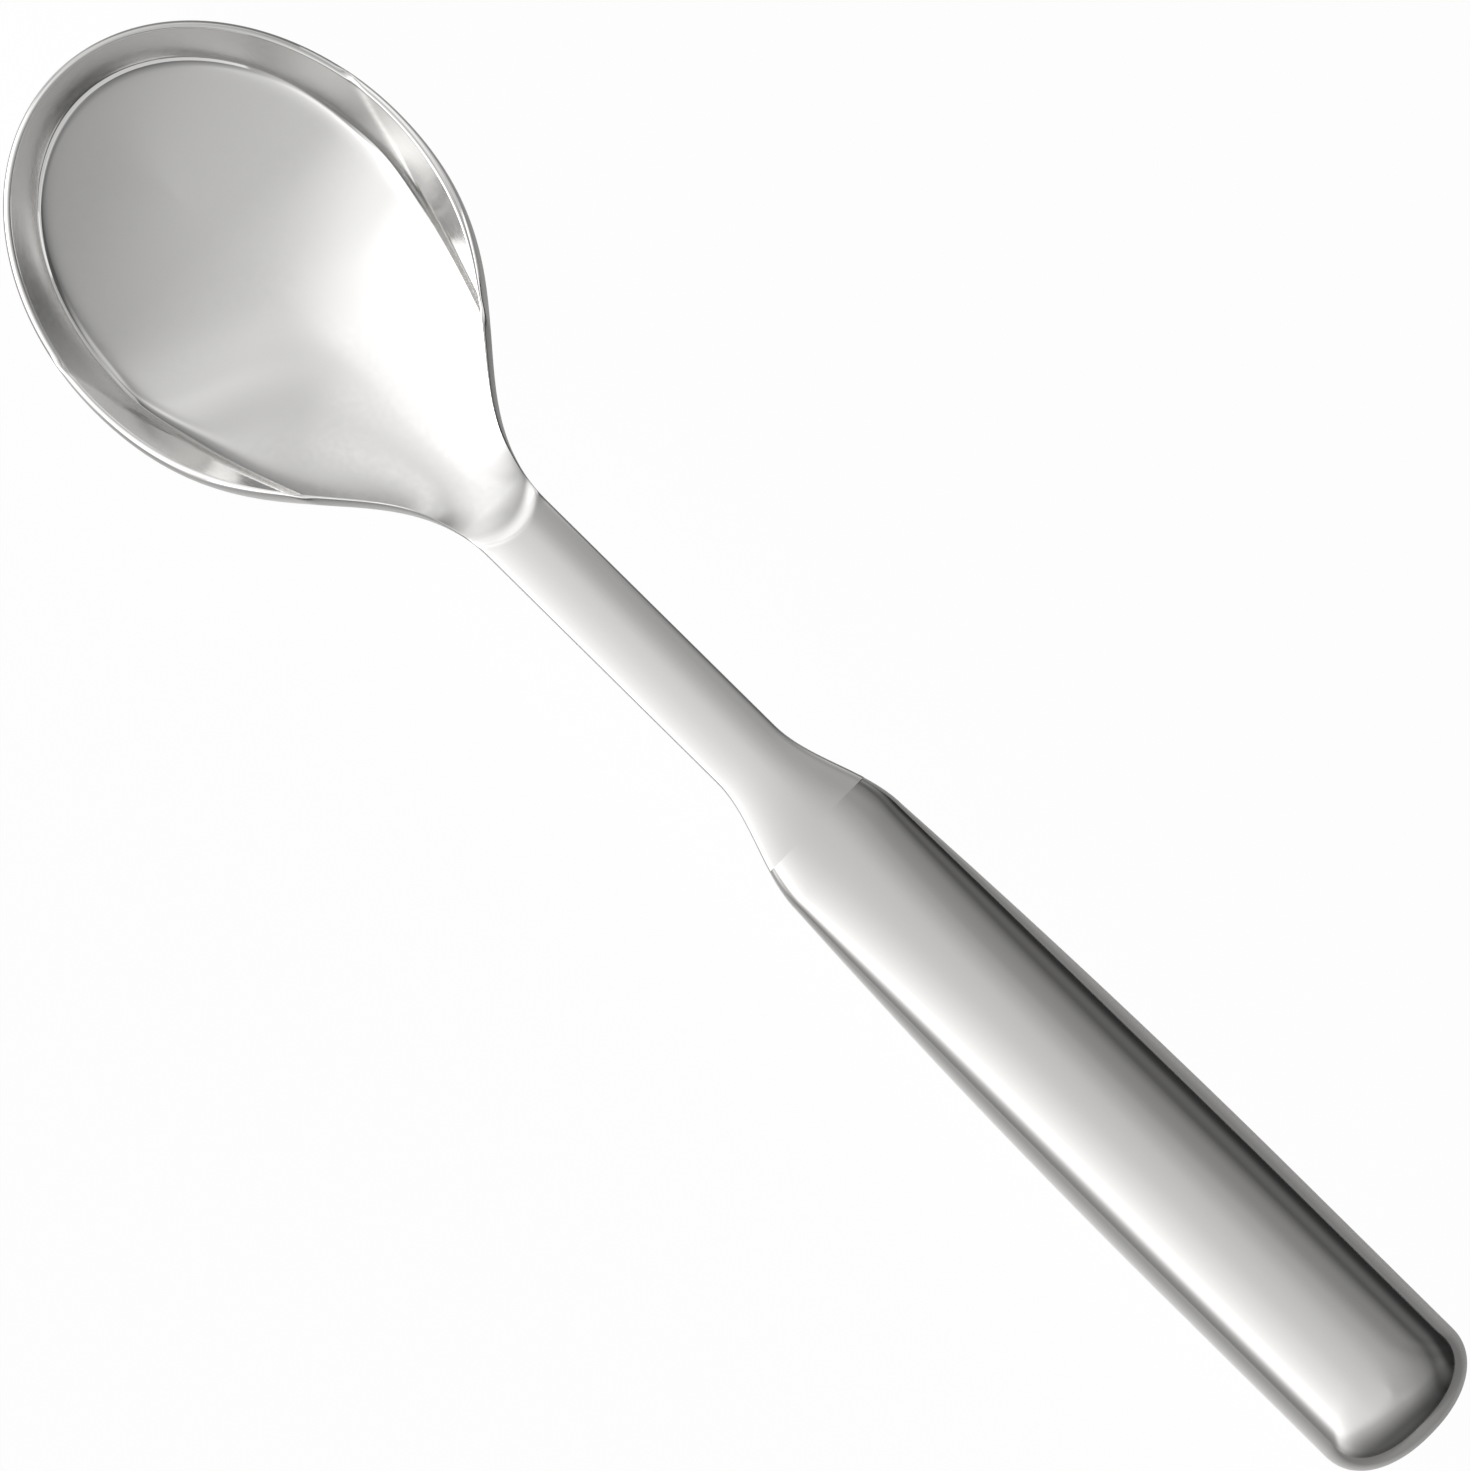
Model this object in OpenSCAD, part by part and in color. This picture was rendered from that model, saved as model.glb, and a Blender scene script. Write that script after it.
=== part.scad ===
// Serving spoon: a drawn steel bowl on a narrow shank, with a hollow welded handle round its tang.
// It lies on its bowl and on the belly of its handle. X runs from the bowl's tip to the handle's end.

/* [Bowl] */
// Width of the bowl over its rim
bowl_w = 64.5; // [52:0.5:76]
// Length from the tip of the bowl to its widest point
bowl_front_l = 41; // [34:0.5:50]
// Length from the widest point of the bowl to the start of the shank
bowl_rear_l = 58; // [48:0.5:72]
// Length of side that runs on behind the widest point before it turns in
bowl_shoulder_l = 32.5; // [24:0.5:40]
// Length of the sweep that leads the side into the shank
neck_sweep_l = 22.5; // [14:0.5:28]
// Depth of the bowl inside, from the rim to the floor
bowl_depth = 9.5; // [7.5:0.5:12]
// Height of the shank's top above the floor of the bowl
bowl_drop = 14.5; // [12:0.5:18]
// Rise of the floor from its lowest place to the tip
bowl_lift = 1.9; // [1:0.1:3.5]
// Rise of the slightly dished floor to the foot of the wall in front
dish_rise = 1.4; // [0.8:0.1:3]
// Rise of the dished floor where the wall ends behind
dish_rear = 3.3; // [2:0.1:4.5]
// Width of the steep wall at the sides of the bowl
wall_w = 4.2; // [3:0.1:5.5]
// Width of the steep wall at the tip
wall_tip_w = 3.1; // [2:0.1:4]
// How much wider and softer the wall gets towards its end behind
wall_spread = 3.2; // [0:0.1:4]
// Length of the rising floor behind the lowest place
ramp_l = 62.5; // [50:0.5:74]
// Length of the level floor between its rise and the shank
neck_flat_l = 3.5; // [2:0.5:6]
// Height of the small step from there up to the shank
neck_step = 0.5; // [0.2:0.05:0.6]
// Thickness of the rolled-out sheet of the bowl
bowl_sheet = 1.4; // [1:0.1:2]
// How far the rounded edge of the rim stands out
rim_round = 0.5; // [0.3:0.1:0.9]

/* [Shank] */
// Length of the straight shank between the bowl and the flare
shank_l = 48; // [30:1:70]
// Width of the shank
shank_w = 12.3; // [9:0.1:16]
// Thickness of the shank
shank_t = 3.4; // [3:0.1:4.4]
// Height of the shank's crown above its widest line
shank_crown = 1.9; // [1.6:0.1:2.2]
// Thickness at the end of the flare, in the mouth of the handle
mouth_t = 4.8; // [4.2:0.1:5.6]
// Height of the crown above the widest line in the mouth
mouth_crown = 2.6; // [2.2:0.1:3]
// Length of the flare that widens the shank to the handle
flare_l = 22; // [16:0.5:32]
// Length of the flare that belongs to the shank, up to the mouth of the handle
flare_lead = 15; // [10:0.5:16]

/* [Handle] */
// Length of the handle from its mouth to its end
handle_l = 130; // [115:1:160]
// Width of the handle behind the flare
handle_front_w = 22.6; // [18:0.1:26]
// Greatest width of the handle
handle_w = 27.2; // [22:0.1:34]
// Length over which the handle widens behind the flare
widen_l = 80; // [50:1:95]
// Greatest thickness of the handle
handle_t = 16.6; // [13:0.1:19]
// Height of the handle's top above its seam where it is thickest
handle_crown = 8.8; // [6.5:0.1:10]
// Length over which the belly swells to its full thickness
belly_l = 80; // [60:1:100]
// Length of the rounded end of the handle
end_l = 9; // [6:0.5:13]

/* [Hollow handle] */
// Thickness of the two drawn shells
shell_t = 0.8; // [0.6:0.05:1]
// Depth of the weld groove along the seam
groove = 0.4; // [0.2:0.05:0.5]
// Length of the tang inside the handle
tang_l = 56; // [48:1:75]
// Width of the tang
tang_w = 12; // [9:0.5:15]
// Diameter of the two keying holes in the tang
tang_hole_d = 4; // [3:0.1:5]
// Distance from the end of the tang to the first keying hole
tang_hole_margin = 8; // [6:0.5:12]
// Distance between the keying holes
tang_hole_gap = 14; // [10:0.5:20]
// Length of the resin bed under the tang
bed_l = 46; // [40:1:60]
// How far the resin bed reaches past the end of the tang
bed_past = 6; // [2:0.5:12]
// Clearance between the tang, the bed and the shells
fit = 0.1; // [0.05:0.01:0.15]

/* [Hidden] */

// Stations along the length, measured from the tip of the bowl
shank_x = bowl_front_l + bowl_rear_l;
flare_x = shank_x + shank_l;
mouth_x = flare_x + flare_lead;
end_x = mouth_x + handle_l;
end_start_x = end_x - end_l;
ramp_x = shank_x - neck_flat_l - ramp_l;
tang_end_x = mouth_x + tang_l;
bed_end_x = tang_end_x + bed_past;
hole_xs = [tang_end_x - tang_hole_margin, tang_end_x - tang_hole_margin - tang_hole_gap];

// Heights, measured from the straight top line of shank and handle
shank_low = shank_t - shank_crown;
mouth_low = mouth_t - mouth_crown;
handle_low = handle_t - handle_crown;
tang_top_z = -shell_t - fit;
tang_under_z = shell_t + fit - mouth_t;

// Powers of the curved outlines: flat strip of shank and tang, full section of the handle, handle's end
strip_power = 12;
section_power = 2.3;
end_power = 2.2;
// Share of the strip's height that is a slow bulge from edge to edge
strip_bulge = 0.36;
// Share of the bowl's front that the fan of ribs reaches ahead of the widest point
fan_share = 0.38;
// Lengths over which the floor's climb to the neck gets steeper at its start and levels out at its end
climb_start_l = 27;
climb_end_l = 4;
// Power that holds the rim low behind the widest point
rim_power = 1.5;
// Length behind the lowest place over which the dish deepens, and softness of the wall's end there
dish_run_l = 38;
wall_soft = 0.55;
// Length behind the widest place over which the wall spreads
wall_spread_l = 24;
// Radius-like length of the bend at the foot of the wall, and least width of the faded wall
wall_bend = 0.6;
wall_least_w = 0.01;
// Where the neck's step starts ahead of the shank, how far it bows back to the sides, and its length
step_lead = 2.15;
step_bow = 2.6;
step_l = 2.8;
// Length over which the bowl's section turns into the shank's
neck_blend_l = 14;
// Lengths that set the fan of ribs in the handle's end, and how far along the side it fades
end_fan_l = 10;
end_lag_l = 8;
end_fade_l = 45;
// Share of a section's half width at which its rounded edge starts
edge_share = 0.96;
// How far the pegs are rooted in the bed
peg_root = 1;

// Numbers of ribs and of points along a rib
front_ribs = 18;
rear_ribs = 20;
neck_ribs = 10;
step_ribs = 4;
shank_ribs = 3;
flare_ribs = 7;
rib_steps = 12;
end_ribs = 10;
side_ribs = 30;
shell_steps = 9;
bed_ribs = 8;
bed_steps = 12;
rest_samples = 60;
// Place on the bowl's side curve from which the ribs stand closer
neck_t = 0.88;
edge_turns = [45, 0, -45];
tiny = 0.0001;

function mix(a, b, share) = a + (b - a) * share;
function clamp01(t) = max(0, min(1, t));
function smooth(t) = clamp01(t) * clamp01(t) * (3 - 2 * clamp01(t));
function ease_out(t) = 1 - (1 - clamp01(t)) * (1 - clamp01(t));
function arch(share, power) = pow(max(0, 1 - pow(share, power)), 1 / power);
function lobe_cos(turn, power) = pow(max(0, cos(turn)), 2 / power);
function lobe_sin(turn, power) = sign(turn) * pow(abs(sin(turn)), 2 / power);
function lobe_turn(rise, power) = sign(rise) * asin(pow(min(1, abs(rise)), power / 2));
function crowned(share, height, bulge) = mix(height, 1 - share * share, bulge);
function soft_ramp(t) = ln(1 + exp(t));
function flip(list) = [for (i = [len(list) - 1 : -1 : 0]) list[i]];

// A rib stands on a ray from the centre line at spine_x to the outline. Its points are [reach, height].
function ray(out_x, out_y, spine_x) = [out_x, out_y, spine_x];
function ray_l(r) = norm([r[0] - r[2], r[1]]);
function ray_x(r, reach) = r[2] + (r[0] - r[2]) * reach / ray_l(r);
function place(r, point) = [ray_x(r, point[0]), r[1] * point[0] / ray_l(r), point[1]];
function stand(r, rib) = [for (point = rib) place(r, point)];

// Outline of the bowl in plan: an ellipse in front, one curve from there into the shank
function bezier(a, b, c, d, t) =
    a * pow(1 - t, 3) + b * 3 * t * pow(1 - t, 2) + c * 3 * t * t * (1 - t) + d * pow(t, 3);
function bezier_slope(a, b, c, d, t) =
    (b - a) * 3 * pow(1 - t, 2) + (c - b) * 6 * t * (1 - t) + (d - c) * 3 * t * t;
side_curve = [
    [bowl_front_l, bowl_w / 2],
    [bowl_front_l + bowl_shoulder_l, bowl_w / 2],
    [shank_x - neck_sweep_l, shank_w / 2],
    [shank_x, shank_w / 2]
];
function side_at(t) = bezier(side_curve[0], side_curve[1], side_curve[2], side_curve[3], t);
function side_dir(t) = bezier_slope(side_curve[0], side_curve[1], side_curve[2], side_curve[3], t);
front_rays = [for (i = [0 : front_ribs]) let (turn = 90 * i / front_ribs)
    ray(bowl_front_l * (1 - cos(turn)), bowl_w / 2 * sin(turn),
        bowl_front_l * (1 - fan_share * cos(turn)))];
rear_ts = concat([for (i = [1 : rear_ribs]) neck_t * i / rear_ribs],
    [for (i = [1 : neck_ribs]) mix(neck_t, 1, i / neck_ribs)]);
rear_rays = [for (t = rear_ts) let (at = side_at(t), dir = side_dir(t))
    ray(at[0], at[1], at[0] + at[1] * dir[1] / dir[0])];
shank_xs = concat([for (i = [1 : step_ribs]) shank_x + step_l * i / step_ribs],
    [for (i = [1 : shank_ribs]) mix(shank_x + step_l, flare_x, i / shank_ribs)],
    [for (i = [1 : flare_ribs]) flare_x + flare_lead * i / flare_ribs]);
shank_rays = [for (x = shank_xs) ray(x, half_w(x), x)];
head_rays = concat(front_rays, rear_rays, shank_rays);

// Side view of the bowl: height of the floor and of the rim, and thickness of the sheet
function ramp_share(x) = clamp01((x - ramp_x) / ramp_l);
function eased(x, length) = x < length ? max(0, x) * max(0, x) / (2 * length) : x - length / 2;
function climb(x) =
    (eased(x - ramp_x, climb_start_l) - eased(x - ramp_x - ramp_l + climb_end_l / 2, climb_end_l))
    / (ramp_l - climb_start_l / 2);
function floor_z(x) =
    bowl_lift * pow(clamp01(1 - x / ramp_x), 2) - mix(bowl_drop, neck_step, climb(x));
function rim_z(x) = mix(bowl_depth - bowl_drop, -shank_crown,
    smooth(pow(clamp01((x - bowl_front_l) / bowl_rear_l), rim_power)));
function sheet(x) = mix(bowl_sheet, shank_t, smooth(ramp_share(x)));
function dish_at(x) = mix(dish_rise, dish_rear, smooth((x - ramp_x) / dish_run_l));
function neck_share(x) = smooth((x - shank_x + neck_blend_l) / neck_blend_l);
function step_up(x, y) =
    neck_step * smooth((x - shank_x + step_lead + step_bow * pow(2 * y / shank_w, 2)) / step_l);

rib_shares = [for (i = [0 : rib_steps]) sin(90 * i / rib_steps)];

// Section of the bowl along one ray: inside, rounded rim, outside
function bowl_point(r, end, share, foot, under) =
    let (
        wall_h = foot[1],
        x = ray_x(r, end[0] * share),
        top_x = ray_x(r, end[0]),
        rise = end[1] - floor_z(top_x) + under * sheet(top_x),
        bend = soft_ramp((end[0] * (share - 1) + foot[0]) / wall_bend) / soft_ramp(foot[0] / wall_bend)
    )
    [end[0] * share, floor_z(x) - under * sheet(x) + (rise - wall_h) * share * share + wall_h * bend];
function bowl_rib(r) =
    let (
        edge_z = rim_z(r[0]),
        half_t = sheet(r[0]) / 2,
        depth = edge_z - floor_z(r[0]),
        wall_h = wall_soft * soft_ramp((depth - dish_at(r[0])) / wall_soft),
        spread = wall_spread * smooth((r[0] - bowl_front_l) / wall_spread_l),
        full_w = mix(wall_tip_w, wall_w, smooth(r[0] / bowl_front_l)) + spread,
        foot = [full_w * sqrt(wall_h / (bowl_depth - dish_rise)) + wall_least_w, wall_h],
        tilt = atan(wall_h / foot[0] + 2 * (depth - wall_h) / ray_l(r)),
        edge_l = ray_l(r) - norm([half_t * sin(tilt), rim_round * cos(tilt)]),
        inside = [edge_l - half_t * sin(tilt), edge_z + half_t * cos(tilt)],
        outside = [edge_l + half_t * sin(tilt), edge_z - half_t * cos(tilt)],
        far = -atan2(half_t * sin(tilt), rim_round * cos(tilt))
    )
    concat(
        [for (s = rib_shares) bowl_point(r, inside, s, foot, 0)],
        [for (turn = [(far + 90) / 2, far, (far - 90) / 2]) [
            edge_l - half_t * sin(turn) * sin(tilt) + rim_round * cos(turn) * cos(tilt),
            edge_z + half_t * sin(turn) * cos(tilt) + rim_round * cos(turn) * sin(tilt)]],
        [for (s = flip(rib_shares)) bowl_point(r, outside, s, foot, 1)]);

// Flat, slightly bulged section of shank and tang with its top at top_z, up and low from its widest line
function strip_z(share) = crowned(share, arch(share, strip_power), strip_bulge);
function strip_rib(half_w, up, low, top_z = 0) =
    let (edge = lobe_turn(arch(edge_share, strip_power), strip_power))
    concat(
        [for (s = rib_shares) [half_w * edge_share * s, up * strip_z(edge_share * s) - up + top_z]],
        [for (turn = edge_turns) let (at = edge * turn / 90, side = lobe_cos(at, strip_power))
            [half_w * side, (at < 0 ? -low : up) * strip_z(side) - up + top_z]],
        [for (s = flip(rib_shares)) [half_w * edge_share * s, -low * strip_z(edge_share * s) - up + top_z]]);

// The bowl's section turns into the strip's on the way to the shank, and climbs the small step there
function stepped(p) = [p[0], p[1], p[2] + step_up(p[0], p[1])];
function floored(p) = [p[0], p[1], p[2] + floor_z(p[0])];
function head_rib(r) =
    let (bowl = stand(r, bowl_rib(r)), strip = stand(r, strip_rib(ray_l(r), crown_at(r[0]), low_at(r[0]))))
    [for (i = [0 : len(bowl) - 1]) stepped(mix(bowl[i], floored(strip[i]), neck_share(bowl[i][0])))];

// Plan of shank and handle, and side view of the handle
function half_w(x) = shank_w / 2
    + (handle_front_w - shank_w) / 2 * smooth((x - flare_x) / flare_l)
    + (handle_w - handle_front_w) / 2 * ease_out((x - flare_x - flare_l) / widen_l);
function flared(x) = smooth((x - flare_x) / flare_lead);
function swell(x) = ease_out((x - mouth_x) / belly_l);
function crown_at(x) =
    shank_crown + (mouth_crown - shank_crown) * flared(x) + (handle_crown - mouth_crown) * swell(x);
function low_at(x) = shank_low + (mouth_low - shank_low) * flared(x) + (handle_low - mouth_low) * swell(x);
end_rays = [for (i = [0 : end_ribs]) let (turn = 90 * i / end_ribs)
    ray(end_start_x + end_l * lobe_cos(turn, end_power), half_w(end_start_x) * lobe_sin(turn, end_power),
        end_x - end_fan_l - (end_l + end_lag_l - end_fan_l) * (1 - cos(turn)))];
side_rays = [for (i = [1 : side_ribs])
    let (x = mix(end_start_x, mouth_x, i / side_ribs), fade = smooth((end_start_x - x) / end_fade_l))
    ray(x, half_w(x), x - end_lag_l * (1 - fade))];
handle_rays = concat(end_rays, side_rays);

// Section of one half shell along a ray; up is 1 for the top shell and -1 for the bottom one
function rise_at(x, up) = up > 0 ? crown_at(x) : low_at(x);
function shell_point(r, turn, up, inset) =
    let (reach = (ray_l(r) - inset) * lobe_cos(turn, section_power), x = ray_x(r, reach))
    [reach, up * (rise_at(x, up) - inset) * abs(lobe_sin(turn, section_power)) - crown_at(x)];
function groove_turn(r, up) = lobe_turn(groove / rise_at(r[0], up), section_power);
function groove_root(r) = [ray_l(r) - groove, -crown_at(ray_x(r, ray_l(r) - groove))];
function shell_rib(r, up) = concat(
    [for (i = [0 : shell_steps]) shell_point(r, mix(90, groove_turn(r, up), i / shell_steps), up, 0)],
    [groove_root(r)],
    [for (i = [0 : shell_steps]) shell_point(r, 90 * i / shell_steps, up, shell_t)]);
function weld_rib(r) = [
    shell_point(r, groove_turn(r, -1), -1, 0),
    groove_root(r),
    shell_point(r, groove_turn(r, 1), 1, 0),
    [ray_l(r), -crown_at(r[0])]];

// Section of the resin bed: flat under the tang, against both shells below that
function bed_rib(x) =
    let (
        half = half_w(x) - shell_t - fit,
        up = crown_at(x) - shell_t - fit,
        low = low_at(x) - shell_t - fit,
        top_z = tang_under_z - fit,
        rise = top_z + crown_at(x),
        top_turn = lobe_turn(rise / (rise > 0 ? up : low), section_power)
    )
    concat([[0, top_z]],
        [for (i = [0 : bed_steps]) let (turn = mix(top_turn, -90, i / bed_steps))
            [half * lobe_cos(turn, section_power),
             (turn > 0 ? up : low) * lobe_sin(turn, section_power) - crown_at(x)]]);

// Solid through a row of ribs and their mirror images: the ribs start and end on the centre line
function flat_rib(rib) = [for (p = rib) [p[0], 0, p[2]]];
function mirrored(points) = [for (p = points) [p[0], -p[1], p[2]]];
function both_sides(ribs) = [for (rib = ribs, side = [rib, mirrored(rib)], p = side) p];
function two(a, b, c, d) = [[a, b, c], [a, c, d]];
function skin(ribs, loop) =
    let (n = len(ribs[0]), step = 2 * n, last = loop ? n - 1 : n - 2)
    [for (i = [0 : len(ribs) - 2], j = [0 : last])
        let (a = step * i + j, b = step * i + (j + 1) % n, c = a + n, d = b + n)
        each j < n / 2 - 1
            ? concat(two(a, a + step, b + step, b), two(c, d, d + step, c + step))
            : concat(two(b, a, a + step, b + step), two(d, d + step, c + step, c))];
function cap(ribs) =
    let (n = len(ribs[0]), first = 2 * n * (len(ribs) - 1))
    [for (j = [0 : ceil(n / 2) - 2])
        let (a = first + j, b = a + 1, d = first + n - 1 - j, c = d - 1)
        each concat(two(a, d, c, b), two(a + n, b + n, c + n, d + n))];
function is_real(face, points) =
    norm(points[face[0]] - points[face[1]]) > tiny
    && norm(points[face[1]] - points[face[2]]) > tiny
    && norm(points[face[2]] - points[face[0]]) > tiny;

// The ribs run towards -X, or towards +X where ahead is set; loop joins each rib into a ring
module ribbed(ribs, loop = false, capped = true, ahead = false) {
    points = both_sides(ribs);
    faces = concat(skin(ribs, loop), capped ? cap(ribs) : []);
    real_faces = [for (f = faces) if (is_real(f, points)) ahead ? flip(f) : f];
    polyhedron(points = points, faces = real_faces);
}

// Lays the spoon down: it rests on the bowl's floor and on the end of the belly that comes down first
heel_x = bowl_drop + bowl_sheet > handle_t ? end_x - end_fan_l : mouth_x + belly_l;
floor_xs = [for (i = [0 : rest_samples]) mix(ramp_x, shank_x, i / rest_samples)];
rest_tilt = atan(max([for (x = floor_xs) (sheet(x) - floor_z(x) - handle_t) / (heel_x - x)]));
rest_z = handle_t * cos(rest_tilt) + heel_x * sin(rest_tilt);
middle_x = end_x / 2 * cos(rest_tilt) + (bowl_depth - bowl_drop - handle_crown) / 2 * sin(rest_tilt);
module laid() {
    translate([-middle_x, 0, rest_z]) rotate([0, rest_tilt, 0]) children();
}

module at_keying_holes(z) {
    for (x = hole_xs) translate([x, 0, z]) children();
}

module spoon_head() {
    tang = strip_rib(tang_w / 2, mouth_crown - shell_t - fit, mouth_low - shell_t - fit, tang_top_z);
    color([0.80, 0.80, 0.79]) laid() difference() {
        ribbed(concat([for (r = head_rays) head_rib(r)],
            [for (x = [mouth_x, tang_end_x]) stand(ray(x, tang_w / 2, x), tang)]), ahead = true);
        at_keying_holes(-mouth_t) cylinder(h = mouth_t, d = tang_hole_d, $fn = 32);
    }
}

module handle_top_shell() {
    color([0.74, 0.74, 0.73]) laid() ribbed([for (r = handle_rays) stand(r, shell_rib(r, 1))]);
}

module handle_bottom_shell() {
    color([0.70, 0.70, 0.69]) laid() mirror([0, 0, 1]) ribbed([for (r = handle_rays)
        [for (p = stand(r, shell_rib(r, -1))) [p[0], p[1], -p[2]]]]);
}

module seam_weld() {
    color([0.66, 0.66, 0.65]) laid() ribbed([for (r = handle_rays) stand(r, weld_rib(r))], loop = true);
}

module tang_bed() {
    xs = [for (i = [0 : bed_ribs]) bed_end_x - bed_l * i / bed_ribs];
    full = [for (x = xs) stand(ray(x, half_w(x) - shell_t - fit, x), bed_rib(x))];
    faced = concat([flat_rib(full[0])], full, [flat_rib(full[bed_ribs])]);
    color([0.42, 0.40, 0.36]) laid() union() {
        ribbed(faced, capped = false);
        at_keying_holes(tang_under_z - fit - peg_root)
            cylinder(h = peg_root + fit + tang_top_z - tang_under_z, d = tang_hole_d - 2 * fit, $fn = 32);
    }
}

spoon_head();
handle_top_shell();
handle_bottom_shell();
seam_weld();
tang_bed();
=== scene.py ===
# %% [markdown]
# # A serving spoon in polished and brushed steel
#
# This lesson dresses a CAD model for the camera. The spoon was already designed as five solids: the head with
# its bowl, shank and tang, two half shells that make the hollow handle, the weld that joins them, and the
# resin bed that holds the tang. Here the steel pieces get dense, smooth surfaces in the same place and size,
# every piece gets a finish, and the spoon is lit and seen from above on a white table.
#
# Almost everything that one sees on bare steel is a reflection. So most of the work is in two things:
# surfaces that bend exactly as the real ones do, and a room of light that is worth reflecting.

# %% Load the CAD frame
import math

import bmesh
import bpy
import numpy as np
from mathutils import Matrix, Vector


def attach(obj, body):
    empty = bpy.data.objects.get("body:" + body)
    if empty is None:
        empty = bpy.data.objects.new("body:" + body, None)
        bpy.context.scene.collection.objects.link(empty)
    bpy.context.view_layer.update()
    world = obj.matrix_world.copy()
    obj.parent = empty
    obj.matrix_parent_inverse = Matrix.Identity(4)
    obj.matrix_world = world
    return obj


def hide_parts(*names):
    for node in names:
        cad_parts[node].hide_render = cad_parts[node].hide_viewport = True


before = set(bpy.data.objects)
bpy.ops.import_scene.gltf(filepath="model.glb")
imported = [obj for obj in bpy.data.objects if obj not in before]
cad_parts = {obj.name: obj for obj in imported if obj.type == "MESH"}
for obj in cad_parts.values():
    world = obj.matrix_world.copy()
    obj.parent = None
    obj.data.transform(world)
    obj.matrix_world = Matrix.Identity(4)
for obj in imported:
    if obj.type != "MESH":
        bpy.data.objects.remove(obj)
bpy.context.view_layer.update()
print("CAD nodes:", sorted(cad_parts))

# %% [markdown]
# ## Curves that the shapes are made of
#
# The spoon's outlines are built from a few simple curves. `smooth` goes from 0 to 1 with a level start and
# finish, `ease_out` starts at full slope and finishes level, and the lobe functions trace a superellipse, the
# rounded, slightly square section that drawn handles have. All lengths below are in millimetres, and the
# meshes are scaled to metres when they are made.


# %% Curve helpers
def mix(a, b, share):
    return a + (b - a) * share


def smooth(t):
    t = np.clip(t, 0.0, 1.0)
    return t * t * (3 - 2 * t)


def ease_out(t):
    return 1 - (1 - np.clip(t, 0.0, 1.0)) ** 2


def lobe_cos(turn, power):
    return np.maximum(0.0, np.cos(turn)) ** (2 / power)


def lobe_sin(turn, power):
    return np.sign(turn) * np.abs(np.sin(turn)) ** (2 / power)


def lobe_turn(rise, power):
    return np.arcsin(np.minimum(1.0, rise) ** (power / 2))


print(f"a quarter of the way, smooth gives {smooth(0.25):.2f} and ease_out {ease_out(0.25):.2f}")

# %% [markdown]
# ## The spoon's own sizes
#
# X runs from the tip of the bowl to the end of the handle, and heights are measured from the straight top
# line of shank and handle. The bowl's plan is an ellipse in front and one Bezier curve from its widest point
# into the shank.

# %% Plan of the spoon
BOWL_W, BOWL_FRONT_L, BOWL_REAR_L = 64.5, 41.0, 58.0
BOWL_SHOULDER_L, NECK_SWEEP_L = 32.5, 22.5
SHANK_L, SHANK_W, FLARE_L, FLARE_LEAD = 48.0, 12.3, 22.0, 15.0
HANDLE_L, HANDLE_FRONT_W, HANDLE_W, WIDEN_L, END_L = 130.0, 22.6, 27.2, 80.0, 9.0

shank_x = BOWL_FRONT_L + BOWL_REAR_L
flare_x = shank_x + SHANK_L
mouth_x = flare_x + FLARE_LEAD
end_x = mouth_x + HANDLE_L
end_start_x = end_x - END_L


def half_w(x):
    flare = smooth((x - flare_x) / FLARE_L)
    widening = ease_out((x - flare_x - FLARE_L) / WIDEN_L)
    return (SHANK_W + (HANDLE_FRONT_W - SHANK_W) * flare + (HANDLE_W - HANDLE_FRONT_W) * widening) / 2


print(f"length {end_x:.0f} mm, mouth of the handle at {mouth_x:.0f} mm")

# %% [markdown]
# Seen from the side, the bowl's floor lies low and climbs to the shank in one long ramp, and the rim rises
# more gently. The sheet is rolled thin in the bowl and stays thick in the shank.

# %% Side view of the spoon
BOWL_DEPTH, BOWL_DROP, RAMP_L, NECK_FLAT_L = 9.5, 14.5, 62.5, 3.5
BOWL_LIFT, NECK_STEP = 1.9, 0.5
BOWL_SHEET, SHANK_T, SHANK_CROWN, RIM_ROUND = 1.4, 3.4, 1.9, 0.5
MOUTH_T, MOUTH_CROWN = 4.8, 2.6
HANDLE_T, HANDLE_CROWN, BELLY_L = 16.6, 8.8, 80.0
CLIMB_START_L, CLIMB_END_L, RIM_POWER = 27.0, 4.0, 1.5
ramp_x = shank_x - NECK_FLAT_L - RAMP_L


def ramp_share(x):
    return np.clip((x - ramp_x) / RAMP_L, 0.0, 1.0)


def eased(x, length):
    return np.where(x < length, np.maximum(x, 0.0) ** 2 / (2 * length), x - length / 2)


def floor_z(x):
    flat_x = ramp_x + RAMP_L - CLIMB_END_L / 2
    climb = eased(x - ramp_x, CLIMB_START_L) - eased(x - flat_x, CLIMB_END_L)
    climb = climb / (RAMP_L - CLIMB_START_L / 2)
    lift = BOWL_LIFT * np.clip(1 - x / ramp_x, 0.0, 1.0) ** 2
    return lift - mix(BOWL_DROP, NECK_STEP, climb)


def rim_z(x):
    share = np.clip((x - BOWL_FRONT_L) / BOWL_REAR_L, 0.0, 1.0)
    return mix(BOWL_DEPTH - BOWL_DROP, -SHANK_CROWN, smooth(share**RIM_POWER))


def sheet(x):
    return mix(BOWL_SHEET, SHANK_T, smooth(ramp_share(x)))


def swelling(x, at_shank, at_mouth, at_handle):
    flared = smooth((x - flare_x) / FLARE_LEAD)
    return mix(mix(at_shank, at_mouth, flared), at_handle, ease_out((x - mouth_x) / BELLY_L))


def crown_at(x):
    return swelling(x, SHANK_CROWN, MOUTH_CROWN, HANDLE_CROWN)


def low_at(x):
    return swelling(x, SHANK_T - SHANK_CROWN, MOUTH_T - MOUTH_CROWN, HANDLE_T - HANDLE_CROWN)


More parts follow.
